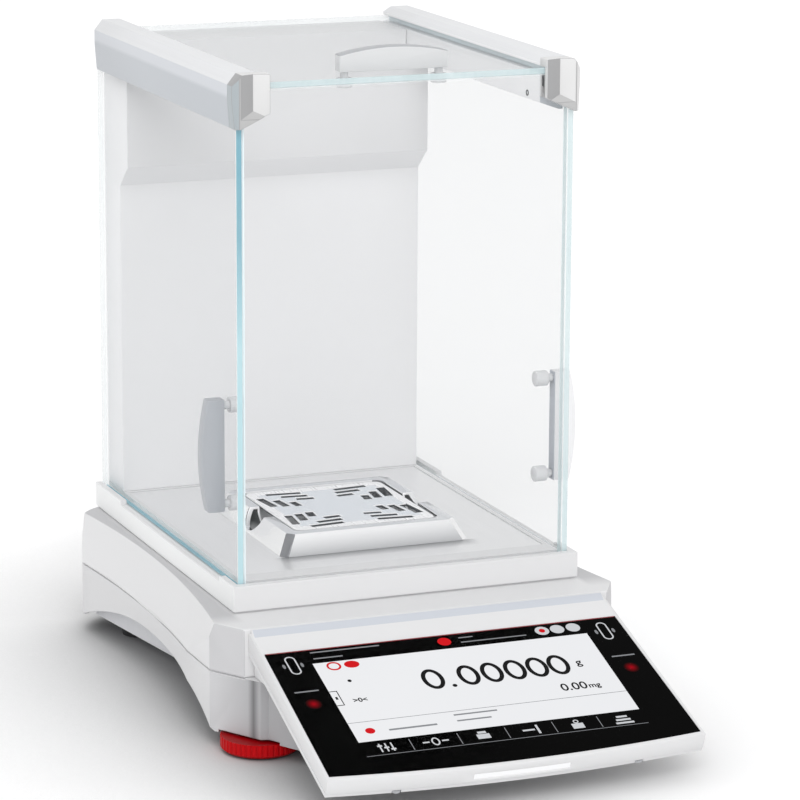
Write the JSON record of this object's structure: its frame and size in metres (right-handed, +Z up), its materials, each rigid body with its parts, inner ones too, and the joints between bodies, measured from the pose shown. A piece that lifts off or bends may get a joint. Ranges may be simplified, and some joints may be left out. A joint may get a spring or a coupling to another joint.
{
  "type": "semi-micro balance",
  "caption": "Laboratory balance: square slotted pan in a glass draft shield with sliding doors, tilted touch display in front and screw feet for levelling.",
  "frame": {"origin": "middle of the bounding box's lower face, on the table under the feet", "axes": "+X to the user's right, +Y from the display to the back, +Z up"},
  "size_m": [0.23, 0.3976, 0.3578],
  "materials": {
    "white_plastic": "fine matt moulding",
    "lower_grey": "fine matt moulding",
    "grey_plastic": "satin",
    "pale_plastic": "gloss",
    "dark_plastic": "matt",
    "handle_grey": "satin",
    "red_plastic": "ribbed, satin",
    "black_rubber": "matt",
    "cast_aluminium": "as cast, painted grey",
    "milled_aluminium": "milled",
    "magnet_steel": "plated",
    "bright_steel": "polished",
    "screw_steel": "zinc plated",
    "floor_steel": "fine brushed",
    "silver_rail": "painted silver",
    "port_metal": "plated",
    "board_green": "solder mask",
    "clear_glass": "clear float glass with polished edges",
    "black_glass": "black printed glass, gloss",
    "screen_white": "lit screen",
    "light_white": "frosted light guide",
    "lamp_red": "tinted lens"
  },
  "bodies": {
    "base": {"lower_housing": "lower_grey", "upper_housing": "white_plastic", "base_chassis": "cast_aluminium", "weigh_below_plug": "dark_plastic", "rear_feet": "black_rubber", "base_screws": "screw_steel", "weigh_cell": "milled_aluminium", "cell_magnet": "magnet_steel", "pan_spigot": "bright_steel", "cal_weight": "bright_steel", "cal_motor": "dark_plastic", "main_board": "board_green", "board_screws": "screw_steel", "power_jack": "dark_plastic", "rear_panel": "lower_grey", "column_head": "white_plastic", "serial_port": "port_metal", "usb_ports": "port_metal", "network_port": "port_metal", "draft_frame": "white_plastic", "floor_plate": "floor_steel", "front_glass": "clear_glass", "left_rail": "silver_rail", "right_rail": "silver_rail", "left_rail_cap": "grey_plastic", "right_rail_cap": "grey_plastic", "rear_column": "white_plastic", "rear_column_cover": "white_plastic", "column_screws": "screw_steel", "pan_surround": "floor_steel", "display_bezel": "white_plastic", "touch_glass": "black_glass", "lcd_panel": "screen_white", "display_board": "board_green", "display_back": "white_plastic", "status_light": "light_white", "ir_lamps": "lamp_red", "display_stand": "white_plastic", "display_screws": "screw_steel"},
    "left_door": {"left_door_glass": "clear_glass", "left_door_handle": "handle_grey", "left_handle_caps": "pale_plastic", "left_door_glides": "dark_plastic"},
    "right_door": {"right_door_glass": "clear_glass", "right_door_handle": "handle_grey", "right_handle_caps": "pale_plastic", "right_door_glides": "dark_plastic"},
    "top_door": {"top_door_glass": "clear_glass", "top_door_handle": "handle_grey", "top_handle_caps": "pale_plastic"},
    "pan": {"weighing_pan": "bright_steel", "pan_support": "milled_aluminium"},
    "left_pad": {"left_foot_pad": "black_rubber"},
    "left_screw": {"left_foot_wheel": "red_plastic", "left_foot_stud": "screw_steel"},
    "right_pad": {"right_foot_pad": "black_rubber"},
    "right_screw": {"right_foot_wheel": "red_plastic", "right_foot_stud": "screw_steel"}
  },
  "joints": [
    {"name": "left_door_slide", "type": "slide", "parent": "base", "child": "left_door", "axis": [0, 1, 0], "range_m": [0, 0.17]},
    {"name": "right_door_slide", "type": "slide", "parent": "base", "child": "right_door", "axis": [0, 1, 0], "range_m": [0, 0.17]},
    {"name": "top_door_slide", "type": "slide", "parent": "base", "child": "top_door", "axis": [0, 1, 0], "range_m": [0, 0.16]},
    {"name": "pan_lift", "type": "slide", "parent": "base", "child": "pan", "axis": [0, 0, 1], "range_m": [0, 0.02]},
    {"name": "left_foot_travel", "type": "slide", "parent": "base", "child": "left_pad", "axis": [0, 0, 1], "range_m": [-0.00502, 0.0009]},
    {"name": "left_foot_turn", "type": "hinge", "parent": "left_pad", "child": "left_screw", "pos_m": [-0.0925, -0.06772, 0], "axis": [0, 0, 1], "range_deg": [-1440, 252]},
    {"name": "right_foot_travel", "type": "slide", "parent": "base", "child": "right_pad", "axis": [0, 0, 1], "range_m": [-0.00502, 0.0009]},
    {"name": "right_foot_turn", "type": "hinge", "parent": "right_pad", "child": "right_screw", "pos_m": [0.0925, -0.06772, 0], "axis": [0, 0, 1], "range_deg": [-1440, 252]}
  ],
  "couplings": [
    {"joint": "left_foot_travel", "follows": "left_foot_turn", "m_per_rad": 0.00019894},
    {"joint": "right_foot_travel", "follows": "right_foot_turn", "m_per_rad": 0.00019894}
  ]
}
